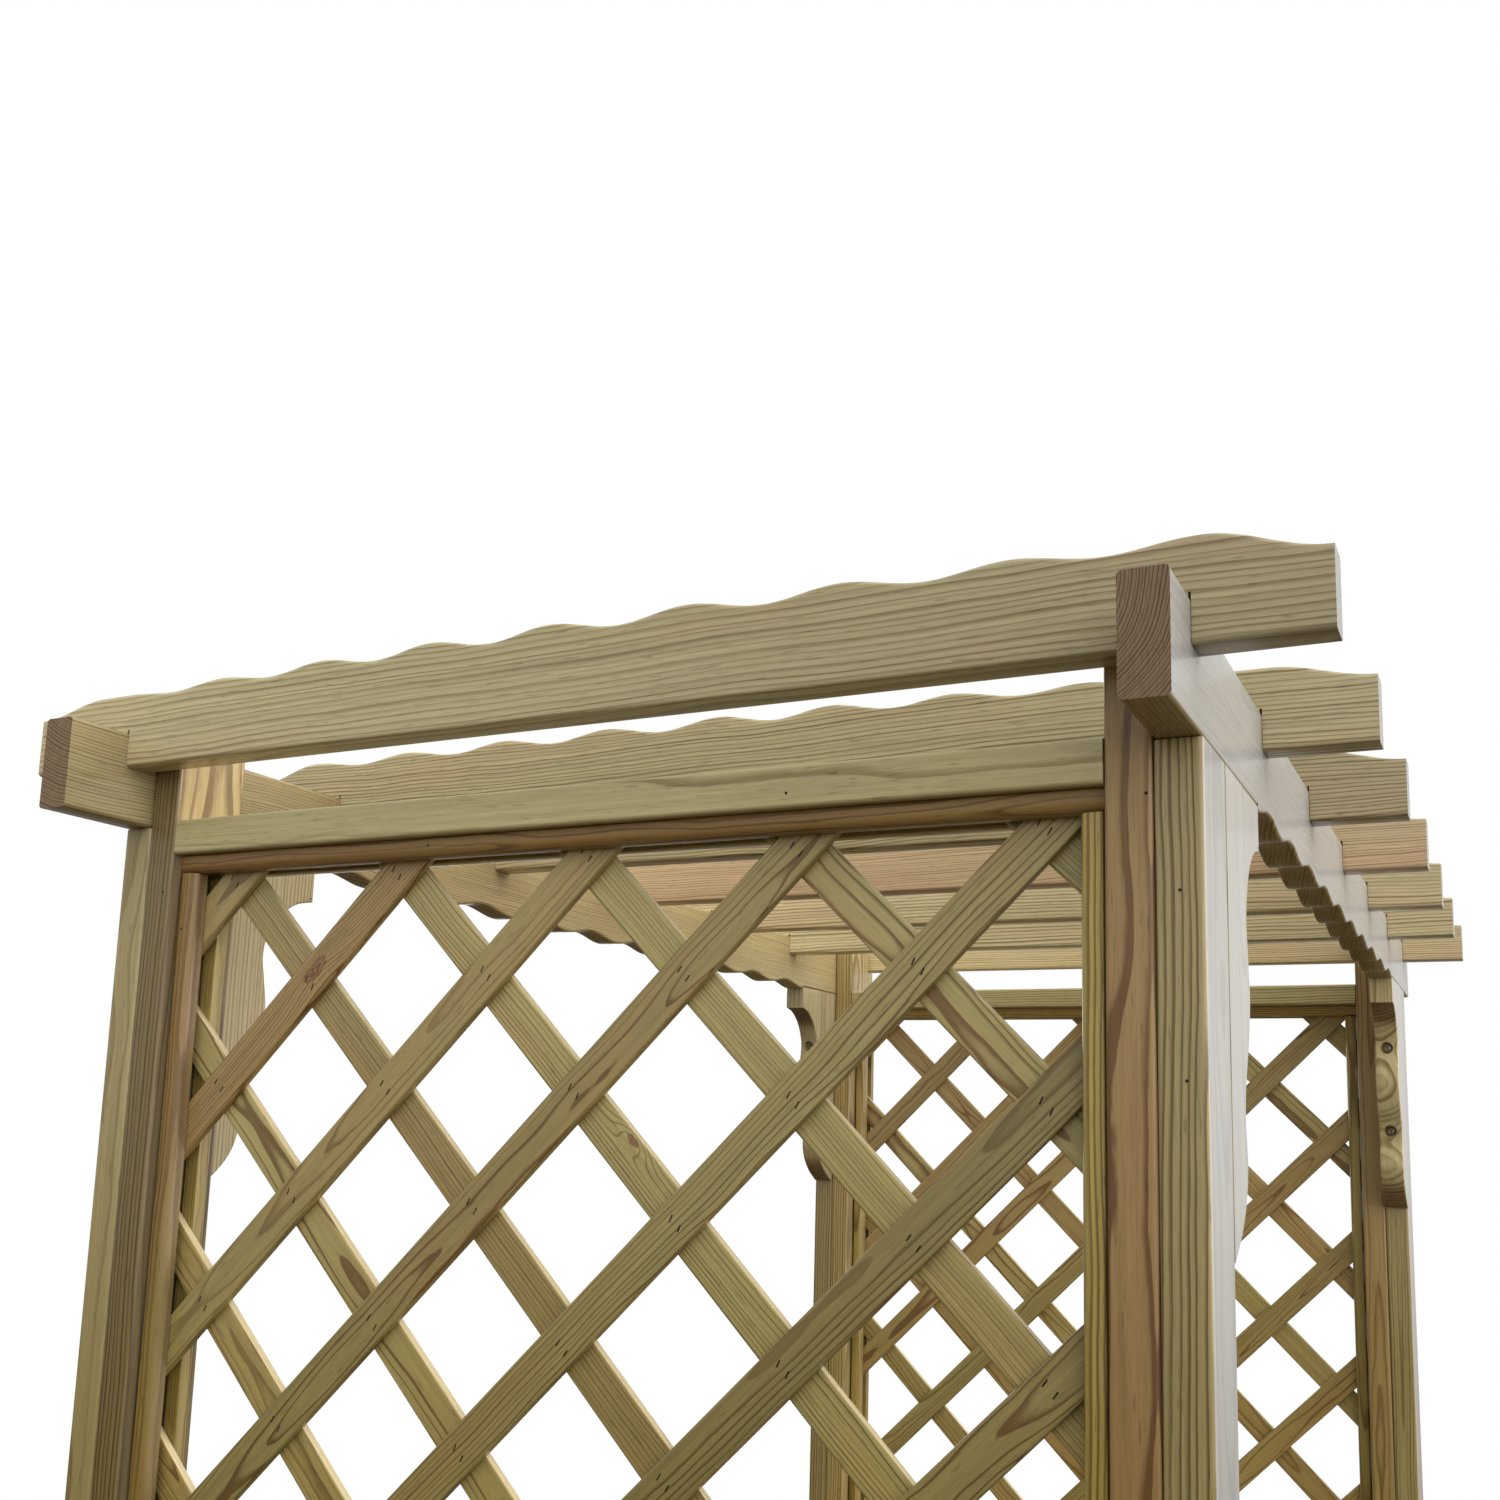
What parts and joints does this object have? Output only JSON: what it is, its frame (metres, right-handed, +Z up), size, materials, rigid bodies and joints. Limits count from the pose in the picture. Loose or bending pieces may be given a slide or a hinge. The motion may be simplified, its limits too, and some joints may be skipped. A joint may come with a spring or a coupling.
{
  "type": "pergola arbour",
  "caption": "Wooden pergola arbour with wavy-edged rafters on scalloped side beams, lattice end panels and scrolled corner brackets.",
  "frame": {"origin": "on the ground, at the middle of the footprint", "axes": "+Y along the side beams from the front panel to the back panel, +X along the rafters, +Z up"},
  "size_m": [1.368, 2.258, 2.2042],
  "materials": {
    "beam": "matte",
    "rafter": "matte",
    "post": "matte",
    "stile": "matte",
    "rail": "matte",
    "bead": "matte",
    "lattice": "matte",
    "bracket": "matte",
    "screw": "satin"
  },
  "bodies": {
    "root": {"beam_left": "beam", "beam_right": "beam", "rafter_1": "rafter", "rafter_2": "rafter", "rafter_3": "rafter", "rafter_4": "rafter", "rafter_5": "rafter", "rafter_6": "rafter", "rafter_7": "rafter", "post_front_left": "post", "stile_front_left": "stile", "bracket_front_left": "bracket", "screw_front_left_upper": "screw", "screw_front_left_lower": "screw", "post_front_right": "post", "stile_front_right": "stile", "bracket_front_right": "bracket", "screw_front_right_upper": "screw", "screw_front_right_lower": "screw", "rail_front_top": "rail", "rail_front_bottom": "rail", "bead_front_outer_left": "bead", "bead_front_outer_right": "bead", "bead_front_outer_top": "bead", "bead_front_outer_bottom": "bead", "bead_front_inner_left": "bead", "bead_front_inner_right": "bead", "bead_front_inner_top": "bead", "bead_front_inner_bottom": "bead", "lattice_front": "lattice", "post_back_left": "post", "stile_back_left": "stile", "bracket_back_left": "bracket", "screw_back_left_upper": "screw", "screw_back_left_lower": "screw", "post_back_right": "post", "stile_back_right": "stile", "bracket_back_right": "bracket", "screw_back_right_upper": "screw", "screw_back_right_lower": "screw", "rail_back_top": "rail", "rail_back_bottom": "rail", "bead_back_outer_left": "bead", "bead_back_outer_right": "bead", "bead_back_outer_top": "bead", "bead_back_outer_bottom": "bead", "bead_back_inner_left": "bead", "bead_back_inner_right": "bead", "bead_back_inner_top": "bead", "bead_back_inner_bottom": "bead", "lattice_back": "lattice"}
  },
  "joints": []
}
